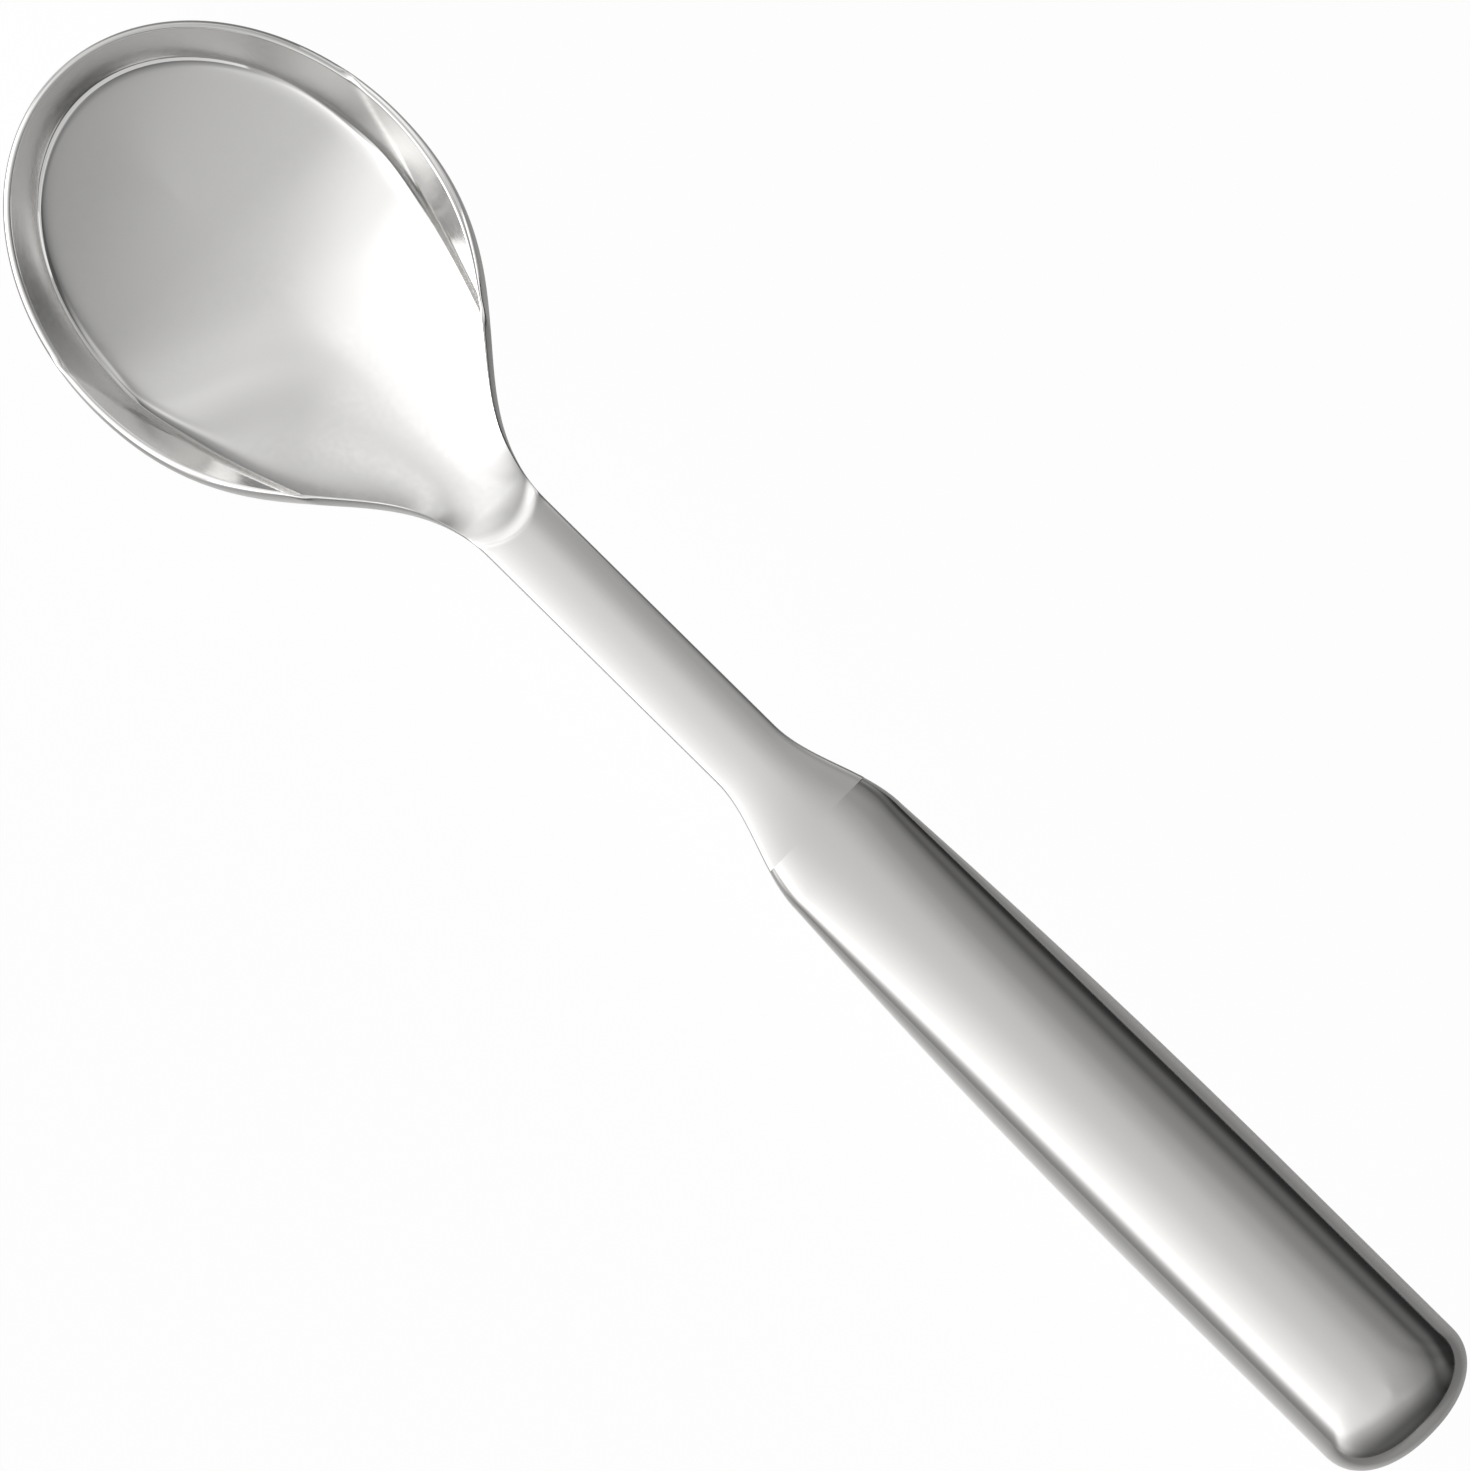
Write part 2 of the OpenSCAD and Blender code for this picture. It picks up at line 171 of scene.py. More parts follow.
print(f"floor {floor_z(ramp_x):.1f} mm, rim {rim_z(0.0):.1f} mm")
print(f"handle {crown_at(end_x) + low_at(end_x):.1f} mm thick")

# %% [markdown]
# ## Laying the spoon down
#
# A spoon on a table touches it twice: under the bowl and under the handle's belly. The tilt that brings both
# down together follows from the heights above, and every mesh goes through the same small turn.

# %% Resting pose
END_FAN_L = 10.0
FLOOR_STEPS = 61
fan_x = end_x - END_FAN_L
heel_x = fan_x if BOWL_DROP + BOWL_SHEET > HANDLE_T else mouth_x + BELLY_L
floor_xs = np.linspace(ramp_x, shank_x, FLOOR_STEPS)
rest_slope = np.max((sheet(floor_xs) - floor_z(floor_xs) - HANDLE_T) / (heel_x - floor_xs))
rest_cos = math.cos(math.atan(rest_slope))
rest_sin = math.sin(math.atan(rest_slope))
rest_z = HANDLE_T * rest_cos + heel_x * rest_sin
middle_x = end_x / 2 * rest_cos + (BOWL_DEPTH - BOWL_DROP - HANDLE_CROWN) / 2 * rest_sin


def laid(points):
    x, y, z = points[..., 0], points[..., 1], points[..., 2]
    placed = [x * rest_cos + z * rest_sin - middle_x, y, z * rest_cos - x * rest_sin + rest_z]
    return np.stack(placed, axis=-1) / 1000


print(f"tilt {math.degrees(math.atan(rest_slope)):.2f} degrees")

# %% [markdown]
# ## Ribs and skin
#
# Each steel piece is a row of ribs with a skin over them, like the hull of a boat. A rib stands on a ray from
# the centre line to the outline, and its points are pairs of reach and height. Subdivision surfaces would be
# quicker to model, but they drift away from the measured shape, and mirrored light shows every drift. The
# other half of the spoon is the mirror image, so both halves share their points on the centre line once
# doubles are merged.

# %% Skin helper
MERGE_M, SLIVER_M = 1e-6, 1e-7
SHARP_ANGLE = math.radians(40)


def stand(ray, rib):
    out_x, out_y, spine_x = ray
    share = rib[:, 0] / math.hypot(out_x - spine_x, out_y)
    return np.stack([mix(spine_x, out_x, share), out_y * share, rib[:, 1]], axis=1)


def skinned(name, ribs, loop=False):
    half = np.array(ribs)
    rows, n, _ = half.shape
    points = np.concatenate([half.reshape(-1, 3), (half * [1, -1, 1]).reshape(-1, 3)])
    faces = []
    for i in range(rows - 1):
        for j in range(n if loop else n - 1):
            a, b = i * n + j, i * n + (j + 1) % n
            faces.append([a, b, b + n, a + n])
    last = (rows - 1) * n
    for j in range((n - 1) // 2):
        corners = [j, j + 1, n - 2 - j, n - 1 - j]
        faces.append([last + c for c in dict.fromkeys(corners)])
    faces += [[v + rows * n for v in reversed(face)] for face in faces]
    mesh = bpy.data.meshes.new(name)
    mesh.from_pydata(laid(points).tolist(), [], faces)
    bm = bmesh.new()
    bm.from_mesh(mesh)
    bmesh.ops.remove_doubles(bm, verts=bm.verts, dist=MERGE_M)
    bmesh.ops.dissolve_degenerate(bm, edges=bm.edges, dist=SLIVER_M)
    bmesh.ops.recalc_face_normals(bm, faces=bm.faces)
    bm.to_mesh(mesh)
    bm.free()
    obj = bpy.data.objects.new(name, mesh)
    bpy.context.collection.objects.link(obj)
    return obj


def finish_piece(obj, node, material):
    obj.data.shade_smooth()
    obj.data.set_sharp_from_angle(angle=SHARP_ANGLE)
    obj.data.materials.append(material)
    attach(obj, "root")
    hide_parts(node)
    print(f"{obj.name}: {len(obj.data.polygons)} faces for {node}")


side_point = stand((BOWL_FRONT_L, BOWL_W / 2, BOWL_FRONT_L), np.array([[BOWL_W / 2, 0.0]]))
print("the bowl's widest point stands at", side_point[0])

# %% [markdown]
# ## Nodes for steel
#
# Bare steel needs no picture: an image of scratches would repeat and stretch on these curves. Noise drawn out
# along the spoon makes streaks, and three small helpers cover what is done with it: `noise` makes a pattern,
# `ranged` turns it into the numbers that a socket needs, and `bumped` lets it tilt the surface a little.
# Noise lies mostly between 0.3 and 0.7, so `ranged` starts from these limits.


# %% Node helpers
def noise(tree, scale_xyz, detail):
    coords = tree.nodes.new("ShaderNodeTexCoord")
    mapping = tree.nodes.new("ShaderNodeMapping")
    mapping.inputs["Scale"].default_value = scale_xyz
    texture = tree.nodes.new("ShaderNodeTexNoise")
    texture.inputs["Scale"].default_value = 1.0
    texture.inputs["Detail"].default_value = detail
    tree.links.new(coords.outputs["Object"], mapping.inputs["Vector"])
    tree.links.new(mapping.outputs["Vector"], texture.inputs["Vector"])
    return texture.outputs["Fac"]


def ranged(tree, value, low, high, from_low=0.3, from_high=0.7):
    node = tree.nodes.new("ShaderNodeMapRange")
    node.inputs["From Min"].default_value = from_low
    node.inputs["From Max"].default_value = from_high
    node.inputs["To Min"].default_value = low
    node.inputs["To Max"].default_value = high
    tree.links.new(value, node.inputs["Value"])
    return node.outputs["Result"]


def bumped(tree, height, distance, strength, normal=None):
    bump = tree.nodes.new("ShaderNodeBump")
    bump.inputs["Distance"].default_value = distance
    bump.inputs["Strength"].default_value = strength
    tree.links.new(height, bump.inputs["Height"])
    if normal is not None:
        tree.links.new(normal, bump.inputs["Normal"])
    return bump.outputs["Normal"]


print("helpers:", noise.__name__, ranged.__name__, bumped.__name__)

# %% [markdown]
# ## Brushed steel
#
# The shank and handle are satin: a fine belt leaves scratches along the length, which spread the reflections
# across. The streaks vary the roughness and give a very small bump, and slow noise adds the slight
# unevenness that grinding leaves. The ground weld has the same look, only duller and rougher.

# %% Steel material
STREAK_SCALE, WAVE_SCALE = (60.0, 2500.0, 2500.0), (70.0, 70.0, 70.0)
STREAK_BUMP_M, WAVE_BUMP_M, WAVE_BUMP = 0.00001, 0.00002, 0.2
# The middle colour is painted light: a brighter steel for the shank, standing in for the extra light it
# catches.
SATIN, SHANK_PAINTED_LIGHT, MIRROR = (0.82, 0.81, 0.795), (0.95, 0.94, 0.93), (0.68, 0.675, 0.665)
SATIN_ROUGH, SATIN_BUMP = (0.08, 0.14), 0.06
WELD, WELD_ROUGH, WELD_BUMP = (0.65, 0.64, 0.625), (0.2, 0.3), 0.12


def steel(name, colour, rough, streak_bump):
    material = bpy.data.materials.new(name)
    material.use_nodes = True
    tree = material.node_tree
    shader = tree.nodes["Principled BSDF"]
    shader.inputs["Metallic"].default_value = 1.0
    shader.inputs["Base Color"].default_value = (*colour, 1.0)
    streaks = noise(tree, STREAK_SCALE, detail=4.0)
    waves = noise(tree, WAVE_SCALE, detail=1.0)
    tree.links.new(ranged(tree, streaks, *rough), shader.inputs["Roughness"])
    normal = bumped(tree, waves, WAVE_BUMP_M, WAVE_BUMP)
    normal = bumped(tree, streaks, STREAK_BUMP_M, streak_bump, normal)
    tree.links.new(normal, shader.inputs["Normal"])
    return material


satin_steel = steel("satin_steel", SATIN, SATIN_ROUGH, SATIN_BUMP)
weld_steel = steel("ground_weld_steel", WELD, WELD_ROUGH, WELD_BUMP)
print("materials:", satin_steel.name, weld_steel.name)

# %% [markdown]
# ## The head's finishes
#
# The head is one piece of steel with several finishes. Separate materials would leave hard borders, so
# numbers stored on the mesh say where each finish lies. `polish` is 1 in the bowl and 0 on the shank. The
# bowl is buffed, but to a soft mirror: it blurs more than the satin does, only without its streaks. `foot` is
# 1 where the wall bends up from the floor, and gives that bend a sharper mirror. The third number is 1 on the
# shank and makes its steel colour brighter than the handle's. That is painted light, standing in for the
# extra light that the shank catches; it is not a different finish.

# %% Head material
GRAIN_SCALE = (900.0, 900.0, 900.0)
BOWL_ROUGH, FOOT_ROUGH = (0.2, 0.26), 0.07


def painted(tree, name):
    node = tree.nodes.new("ShaderNodeAttribute")
    node.attribute_name = name
    return node.outputs["Fac"]


def mixed(tree, share, a, b, kind="FLOAT"):
    node = tree.nodes.new("ShaderNodeMix")
    node.data_type = kind
    tree.links.new(share, node.inputs["Factor"])
    for value, socket in ((a, node.inputs["A"]), (b, node.inputs["B"])):
        if isinstance(value, bpy.types.NodeSocket):
            tree.links.new(value, socket)
        else:
            socket.default_value = value
    return node.outputs["Result"]


head_steel = steel("head_steel", MIRROR, SATIN_ROUGH, SATIN_BUMP)
tree = head_steel.node_tree
shader = tree.nodes["Principled BSDF"]
polish = painted(tree, "polish")
satin_rough = shader.inputs["Roughness"].links[0].from_socket
bowl_rough = ranged(tree, noise(tree, GRAIN_SCALE, detail=3.0), *BOWL_ROUGH)
bowl_rough = mixed(tree, painted(tree, "foot"), bowl_rough, FOOT_ROUGH)
tree.links.new(mixed(tree, polish, satin_rough, bowl_rough), shader.inputs["Roughness"])
# Painted light: the shank's steel colour is made brighter than the handle's satin, for the light it catches.
brushed_with_painted_light = mixed(tree, painted(tree, "painted_shank_light"), (*SATIN, 1.0), (*SHANK_PAINTED_LIGHT, 1.0), "RGBA")
tree.links.new(mixed(tree, polish, brushed_with_painted_light, (*MIRROR, 1.0), "RGBA"), shader.inputs["Base Color"])
for node in list(tree.nodes):
    if node.type == "BUMP" and node.inputs["Normal"].is_linked:
        tree.links.new(ranged(tree, polish, SATIN_BUMP, 0.0, 0.0, 1.0), node.inputs["Strength"])
print("head material has", len(tree.nodes), "nodes")

# %% [markdown]
# ## The head: the bowl's ribs
#
# The bowl is pressed from flat sheet: a shallow dish with a wall that bends up round it. The wall is narrow
# at the tip, spreads behind the widest point and dies out on the way to the neck. Each rib is worked out as a
# gentle dish, a soft bend, a nearly straight wall and a rounded rim, and the same curve one sheet lower makes
# the underside. A small step across the neck marks where the drawn bowl ends and the shank begins: the floor
# dips a little and comes back up over a short, curved edge.

# %% Ribs of the bowl
WALL_W, WALL_TIP_W, WALL_BEND, WALL_SOFT = 4.2, 3.1, 0.6, 0.55
DISH_RISE, DISH_REAR, DISH_RUN_L = 1.4, 3.3, 38.0
WALL_SPREAD, WALL_SPREAD_L = 3.2, 24.0
STEP_X, STEP_BOW, STEP_L = 96.85, 2.6, 2.8
THINNEST_WALL = 0.01
INSIDE_POINTS, EDGE_POINTS, OUTSIDE_POINTS = 121, 13, 81
inside_shares = np.sin(np.linspace(0, math.pi / 2, INSIDE_POINTS))
edge_turns = np.linspace(math.pi / 2, -math.pi / 2, EDGE_POINTS)[1:-1]
outside_shares = np.sin(np.linspace(math.pi / 2, 0, OUTSIDE_POINTS))


def step_place(x, y):
    return x - STEP_X + STEP_BOW * (y / (SHANK_W / 2)) ** 2


def neck_step(x, y):
    return NECK_STEP * smooth(step_place(x, y) / STEP_L)


def bowl_rib(ray):
    out_x, out_y, spine_x = ray
    length = math.hypot(out_x - spine_x, out_y)
    edge_z = rim_z(out_x)
    half_t = sheet(out_x) / 2
    depth = edge_z - floor_z(out_x)
    dish = mix(DISH_RISE, DISH_REAR, smooth((out_x - ramp_x) / DISH_RUN_L))
    wall_h = WALL_SOFT * math.log1p(math.exp((depth - dish) / WALL_SOFT))
    full_w = mix(WALL_TIP_W, WALL_W, smooth(out_x / BOWL_FRONT_L))
    full_w += WALL_SPREAD * smooth((out_x - BOWL_FRONT_L) / WALL_SPREAD_L)
    wall_w = full_w * math.sqrt(wall_h / (BOWL_DEPTH - DISH_RISE)) + THINNEST_WALL
    tilt = math.atan(wall_h / wall_w + 2 * (depth - wall_h) / length)
    edge_l = length - math.hypot(half_t * math.sin(tilt), RIM_ROUND * math.cos(tilt))
    lean = half_t * np.array([-math.sin(tilt), math.cos(tilt)])
    nose = RIM_ROUND * np.array([math.cos(tilt), math.sin(tilt)])
    edge = np.array([edge_l, edge_z])
    inside, outside = edge + lean, edge - lean

    def curve(end, shares, under):
        x = mix(spine_x, out_x, end[0] * shares / length)
        base = floor_z(x) - under * sheet(x)
        end_x = mix(spine_x, out_x, end[0] / length)
        rise = end[1] - floor_z(end_x) + under * sheet(end_x)
        bend = np.log1p(np.exp((end[0] * shares - end[0] + wall_w) / WALL_BEND))
        bend = bend / math.log1p(math.exp(wall_w / WALL_BEND))
        return np.stack([end[0] * shares, base + (rise - wall_h) * shares**2 + wall_h * bend], axis=1)

    rim = edge + np.outer(np.sin(edge_turns), lean) + np.outer(np.cos(edge_turns), nose)
    return np.concatenate([curve(inside, inside_shares, 0), rim, curve(outside, outside_shares, 1)])


side_rib = bowl_rib((BOWL_FRONT_L, BOWL_W / 2, BOWL_FRONT_L))
print(f"{len(side_rib)} points to a rib, the highest at {side_rib[:, 1].max():.1f} mm")

# %% [markdown]
# The shank is a flat bar with a slight crown and edges that are only broken, not round. Its ribs have as many
# points as the bowl's, so at the neck one kind can fade into the other with no seam.

# %% Ribs of the shank
EDGE_POWER, BULGE, EDGE_SHARE = 12.0, 0.36, 0.96
NECK_BLEND_L = 14.0


def crowned(reach, edge_height):
    return mix(edge_height, 1 - reach**2, BULGE)


def strip_rib(half, up, low, top_z=0.0):
    def arch(share):
        return np.maximum(0.0, 1 - share**EDGE_POWER) ** (1 / EDGE_POWER)

    edge = lobe_turn(arch(EDGE_SHARE), EDGE_POWER)
    turns = edge * edge_turns / (math.pi / 2)
    side = lobe_cos(turns, EDGE_POWER)
    side_z = crowned(side, np.abs(lobe_sin(turns, EDGE_POWER)))
    top = EDGE_SHARE * inside_shares
    bottom = EDGE_SHARE * outside_shares
    over = up * crowned(top, arch(top))
    under = -low * crowned(bottom, arch(bottom))
    height = np.concatenate([over, np.where(turns < 0, -low, up) * side_z, under])
    return np.stack([half * np.concatenate([top, side, bottom]), height - up + top_z], axis=1)


def head_rib(ray):
    out_x, out_y, spine_x = ray
    bowl = stand(ray, bowl_rib(ray))
    strip = stand(ray, strip_rib(math.hypot(out_x - spine_x, out_y), crown_at(out_x), low_at(out_x)))
    strip[:, 2] += floor_z(strip[:, 0])
    share = smooth((bowl[:, :1] - shank_x + NECK_BLEND_L) / NECK_BLEND_L)
    rib = mix(bowl, strip, share)
    rib[:, 2] += neck_step(rib[:, 0], rib[:, 1])
    return rib


shank_rib = strip_rib(SHANK_W / 2, crown_at(shank_x), low_at(shank_x))
print(f"shank {2 * shank_rib[:, 0].max():.1f} mm wide and {np.ptp(shank_rib[:, 1]):.1f} mm thick")

# %% [markdown]
# The rays fan out in front and follow the outline's normals behind. They are closest together at the neck,
# where the step has to stay crisp.

# %% Rays of the head
FAN_SHARE = 0.38
FRONT_RAYS, SIDE_RAYS, NECK_RAYS, NECK_SHARE = 61, 61, 41, 0.84
STEP_ZONE_L, STEP_RAYS, SHANK_RAYS, FLARE_RAYS = 3.0, 11, 16, 25
rays = []
for t in np.linspace(0, math.pi / 2, FRONT_RAYS):
    out_x = BOWL_FRONT_L * (1 - math.cos(t))
    rays.append((out_x, BOWL_W / 2 * math.sin(t), BOWL_FRONT_L * (1 - FAN_SHARE * math.cos(t))))
a = np.array([BOWL_FRONT_L, BOWL_W / 2])
b = np.array([BOWL_FRONT_L + BOWL_SHOULDER_L, BOWL_W / 2])
c = np.array([shank_x - NECK_SWEEP_L, SHANK_W / 2])
d = np.array([shank_x, SHANK_W / 2])
side_turns = np.linspace(0, NECK_SHARE, SIDE_RAYS)[1:]
neck_turns = np.linspace(NECK_SHARE, 1, NECK_RAYS)[1:]
for t in np.concatenate([side_turns, neck_turns]):
    at = a * (1 - t) ** 3 + b * 3 * t * (1 - t) ** 2 + c * 3 * t * t * (1 - t) + d * t**3
    slope = (b - a) * 3 * (1 - t) ** 2 + (c - b) * 6 * t * (1 - t) + (d - c) * 3 * t * t
    rays.append((at[0], at[1], at[0] + at[1] * slope[1] / slope[0]))
step_xs = np.linspace(shank_x, shank_x + STEP_ZONE_L, STEP_RAYS)[1:]
shank_xs = np.linspace(shank_x + STEP_ZONE_L, flare_x, SHANK_RAYS)[1:]
flare_xs = np.linspace(flare_x, mouth_x, FLARE_RAYS)[1:]
for x in np.concatenate([step_xs, shank_xs, flare_xs]):
    rays.append((x, half_w(x), x))
print(len(rays), "rays")

# %% [markdown]
# The tang is a thinner, flatter tongue that goes on inside the handle. Its two keying holes let the resin
# grip it, and a Boolean cuts them, which is simpler than leaving them out of the skin.

# %% Head mesh
SHELL_T, FIT, TANG_L, TANG_W = 0.8, 0.1, 56.0, 12.0
TANG_HOLE_D, TANG_HOLE_MARGIN, TANG_HOLE_GAP, TANG_HOLE_SIDES = 4.0, 8.0, 14.0, 32
tang_end_x = mouth_x + TANG_L
tang_inset = SHELL_T + FIT
tang = strip_rib(TANG_W / 2, MOUTH_CROWN - tang_inset, MOUTH_T - MOUTH_CROWN - tang_inset, -tang_inset)
head_ribs = [head_rib(ray) for ray in rays]
head_ribs += [stand((x, TANG_W / 2, x), tang) for x in (mouth_x, tang_end_x)]
head = skinned("spoon_head_steel", head_ribs)

for x in (tang_end_x - TANG_HOLE_MARGIN, tang_end_x - TANG_HOLE_MARGIN - TANG_HOLE_GAP):
    place = laid(np.array([x, 0.0, -MOUTH_T / 2]))
    bpy.ops.mesh.primitive_cylinder_add(
        vertices=TANG_HOLE_SIDES, radius=TANG_HOLE_D / 2000, depth=MOUTH_T / 1000, location=place
    )
    cutter = bpy.context.object
    cutter.rotation_euler[1] = math.atan(rest_slope)
    cut = head.modifiers.new("keying_hole", "BOOLEAN")
    cut.object = cutter
    bpy.context.view_layer.objects.active = head
    bpy.ops.object.modifier_apply(modifier=cut.name)
    bpy.data.objects.remove(cutter)
print(len(head.data.vertices), "points in the head")

# %% [markdown]
# Now the three numbers that the material asks for are stored on every point. `polish` ends along the curved
# step, the shank's painted light fades out over the flare, so that shank and handle meet in one tone, and
# `foot` marks the bend between the level floor and the steep wall, found by slope, and fades out behind the
# bowl's widest point.

# %% Head finishes
FOOT_LEVEL, FOOT_LEVEL_SOFT = 0.985, 0.03
FOOT_STEEP, FOOT_STEEP_SOFT = 0.5, 0.2
FOOT_BACK_X, FOOT_FADE_L = 45.0, 20.0


def paint(name, values):
    head.data.attributes.new(name, "FLOAT", "POINT").data.foreach_set("value", values)
    print(f"{name}: {np.mean(values):.2f} on average")


turned = np.array([v.co for v in head.data.vertices]) * 1000 - [-middle_x, 0, rest_z]
head_x = turned[:, 0] * rest_cos - turned[:, 2] * rest_sin
polished = 1 - smooth(step_place(head_x, turned[:, 1]) / STEP_L)
upward = np.array([v.normal.z for v in head.data.vertices])
bending = smooth((FOOT_LEVEL - upward) / FOOT_LEVEL_SOFT) * smooth((upward - FOOT_STEEP) / FOOT_STEEP_SOFT)
paint("polish", polished)
# Painted light on the shank, fading out over the flare.
paint("painted_shank_light", (1 - polished) * (1 - smooth((head_x - flare_x) / FLARE_LEAD)))
paint("foot", bending * (1 - smooth((head_x - FOOT_BACK_X) / FOOT_FADE_L)))
finish_piece(head, "spoon_head", head_steel)

# %% [markdown]
# ## The hollow handle
#
# Two shells are drawn from thin sheet, set edge to edge and welded along the seam, and the bead is ground
# flush. The rays run from the rounded end to the mouth. Near the end they slant towards it, so that the crown
# rounds off there the way it does at the sides.

# %% Rays of the handle
END_POWER, END_LAG_L, END_FADE_L = 2.2, 8.0, 45.0
END_RAYS, BODY_RAYS = 61, 121
handle_rays = []
for t in np.linspace(0, math.pi / 2, END_RAYS):
    out_x = end_start_x + END_L * lobe_cos(t, END_POWER)
    out_y = half_w(end_start_x) * lobe_sin(t, END_POWER)
    handle_rays.append((out_x, out_y, fan_x - (END_L + END_LAG_L - END_FAN_L) * (1 - math.cos(t))))
for x in np.linspace(end_start_x, mouth_x, BODY_RAYS)[1:]:
    lag = END_LAG_L * (1 - smooth((end_start_x - x) / END_FADE_L))
    handle_rays.append((x, half_w(x), x - lag))
print(len(handle_rays), "rays")

# %% [markdown]
# The handle's section is a superellipse, like a pillow. Each shell is one half of it with an inner wall, and
# keeps a small bevel along its edge. The weld fills the groove between the two bevels.

# %% Ribs of the handle
SECTION_POWER, GROOVE = 2.3, 0.4
OUTER_POINTS, INNER_POINTS, BEAD_POINTS = 49, 25, 4
BEAD_SINK = 0.01


def section(ray, turns, up, inset):
    out_x, out_y, spine_x = ray
    length = math.hypot(out_x - spine_x, out_y)
    reach = (length - inset) * lobe_cos(turns, SECTION_POWER)
    x = mix(spine_x, out_x, reach / length)
    rise = crown_at(x) if up > 0 else low_at(x)
    height = up * (rise - inset) * lobe_sin(turns, SECTION_POWER)
    return np.stack([reach, height - crown_at(x)], axis=1)


def groove_turn(ray, up):
    rise = crown_at(ray[0]) if up > 0 else low_at(ray[0])
    return lobe_turn(GROOVE / rise, SECTION_POWER)


def groove_root(ray):
    out_x, out_y, spine_x = ray
    length = math.hypot(out_x - spine_x, out_y)
    reach = length - GROOVE
    return np.array([[reach, -crown_at(mix(spine_x, out_x, reach / length))]])


def shell_rib(ray, up):
    outer = section(ray, np.linspace(math.pi / 2, groove_turn(ray, up), OUTER_POINTS), up, 0.0)
    inner = section(ray, np.linspace(0, math.pi / 2, INNER_POINTS), up, SHELL_T)
    return stand(ray, np.concatenate([outer, groove_root(ray), inner]))


def weld_rib(ray):
    under = section(ray, np.linspace(groove_turn(ray, -1), 0, BEAD_POINTS)[:-1], -1, 0.0)
    over = section(ray, np.linspace(0, groove_turn(ray, 1), BEAD_POINTS), 1, 0.0)
    face = np.concatenate([under, over])
    face[1:-1, 0] -= BEAD_SINK
    return stand(ray, np.concatenate([groove_root(ray), face]))


top_shell = skinned("handle_top_steel", [shell_rib(ray, 1) for ray in handle_rays])
finish_piece(top_shell, "handle_top_shell", satin_steel)
bottom_shell = skinned("handle_bottom_steel", [shell_rib(ray, -1) for ray in handle_rays])
finish_piece(bottom_shell, "handle_bottom_shell", satin_steel)
weld = skinned("seam_weld_steel", [weld_rib(ray) for ray in handle_rays], loop=True)
finish_piece(weld, "seam_weld", weld_steel)

# %% [markdown]
# ## The resin bed
#
# The bed is cast inside the handle and never seen, so the CAD solid itself is good enough. It still gets a
# finish of its own, a dull filled resin with a slow change of tone, so that the piece can be used alone.

# %% Resin material
RESIN_DARK, RESIN_PALE = (0.12, 0.11, 0.09, 1.0), (0.2, 0.185, 0.155, 1.0)
FILLER_SCALE = (300.0, 300.0, 300.0)
resin = bpy.data.materials.new("filled_resin")
resin.use_nodes = True
tree = resin.node_tree
shader = tree.nodes["Principled BSDF"]
ramp = tree.nodes.new("ShaderNodeValToRGB")
ramp.color_ramp.elements[0].color = RESIN_DARK
ramp.color_ramp.elements[1].color = RESIN_PALE
tree.links.new(noise(tree, FILLER_SCALE, detail=3.0), ramp.inputs["Fac"])
tree.links.new(ramp.outputs["Color"], shader.inputs["Base Color"])
shader.inputs["Roughness"].default_value = 0.75
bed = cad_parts["tang_bed"]
bed.data.materials.clear()
bed.data.materials.append(resin)
print("resin on", bed.name)

# %% [markdown]
# ## A white table
#
# The table has two jobs. The camera should see plain white paper, and the rounded edges of the steel mirror
# that paper from close by. Paper that is equally white everywhere would draw an even white border round the
# spoon. So light and shade are painted into the paper's colour: it is bright beside the spoon and falls off
# into painted shade with the distance from the spoon's middle line and past the end of the handle. Two
# helpers are shared with the room below: `tone_ramp` is a curve of grey tones, and `times` multiplies two of
# them.

# %% Paper tone with painted light and shade
TABLE_SIZE, TABLE_Z = 20.0, -0.0002
PAPER_SPAN = 0.1
# Painted light and shade across the table: tones of the paper's colour by distance from the spoon's middle
# line.
painted_shading_stops = [(-0.07, 0.3), (-0.04, 0.42), (-0.025, 0.6), (-0.015, 0.85), (0.0, 0.85)]
painted_shading_stops += [(0.014, 0.7), (0.02, 0.4), (0.035, 0.2), (0.065, 0.1)]
END_SHADE, END_SHADE_X = (1.0, 0.22), (0.135, 0.16)


def tone_ramp(tree, value, low, high, stops, bend="LINEAR"):
    node = tree.nodes.new("ShaderNodeValToRGB")
    node.color_ramp.interpolation = bend
    tree.links.new(ranged(tree, value, 0.0, 1.0, low, high), node.inputs["Fac"])
    elements = node.color_ramp.elements
    while len(elements) < len(stops):
        elements.new(0.5)
    for element, (place, tone) in zip(elements, stops):
        element.position = (place - low) / (high - low)
        element.color = (tone, tone, tone, 1.0)
    return node.outputs["Color"]


def times(tree, a, b):
    node = tree.nodes.new("ShaderNodeMix")
    node.data_type = "RGBA"
    node.blend_type = "MULTIPLY"
    node.inputs["Factor"].default_value = 1.0
    tree.links.new(a, node.inputs["A"])
    tree.links.new(b, node.inputs["B"])
    return node.outputs["Result"]


bpy.ops.mesh.primitive_plane_add(size=TABLE_SIZE, location=(0, 0, TABLE_Z))
table = bpy.context.object
table.name = "table"
white = bpy.data.materials.new("white_table")
white.use_nodes = True
tree = white.node_tree
shader = tree.nodes["Principled BSDF"]
shader.inputs["Roughness"].default_value = 0.9
place = tree.nodes.new("ShaderNodeSeparateXYZ")
tree.links.new(tree.nodes.new("ShaderNodeTexCoord").outputs["Object"], place.inputs["Vector"])
